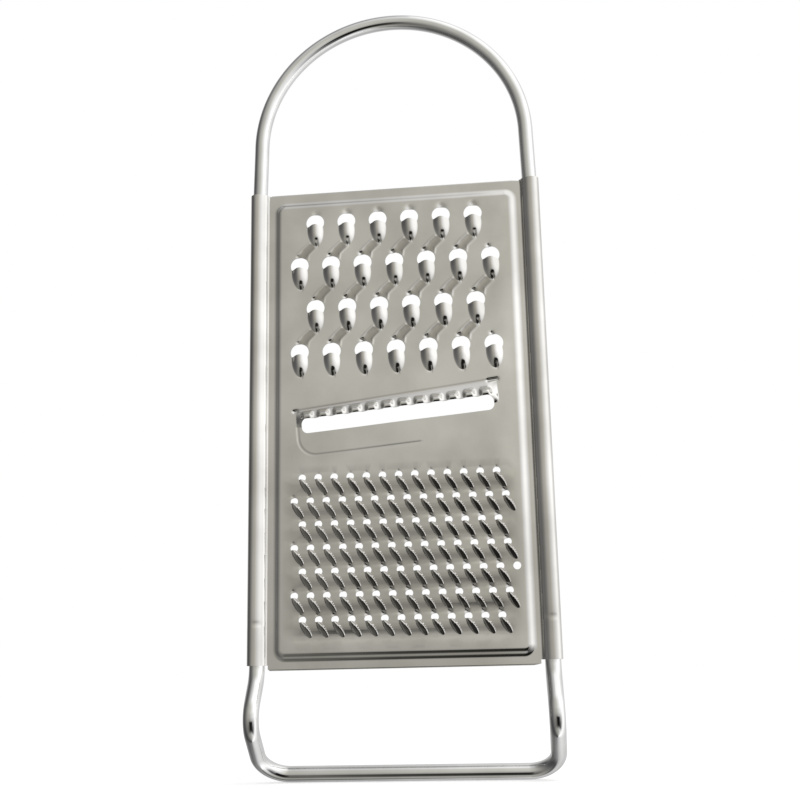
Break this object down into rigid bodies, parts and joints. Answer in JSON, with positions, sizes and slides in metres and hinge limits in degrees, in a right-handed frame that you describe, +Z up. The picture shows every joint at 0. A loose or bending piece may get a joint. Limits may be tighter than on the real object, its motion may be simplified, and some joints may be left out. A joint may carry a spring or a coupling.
{
  "type": "flat grater",
  "caption": "Flat pressed-steel grater with coarse and fine teeth, a rippled slicing slot, a bow handle above and a bent wire foot below.",
  "frame": {"origin": "middle of the underside of the foot's cross bar, where it rests on a table", "axes": "+Z runs up the plate to the top of the bow, +X runs across it to the right seen from the cutting side, and the cutting side faces -Y"},
  "size_m": [0.1, 0.0219, 0.2632],
  "materials": {
    "sheet_steel": "bright polished stainless sheet, nearly a mirror, with faint rolling lines and handling marks",
    "wire_steel": "bright plated round wire"
  },
  "bodies": {
    "root": {"grater_plate": "sheet_steel", "bow_handle": "wire_steel", "foot_frame": "wire_steel"}
  },
  "joints": []
}
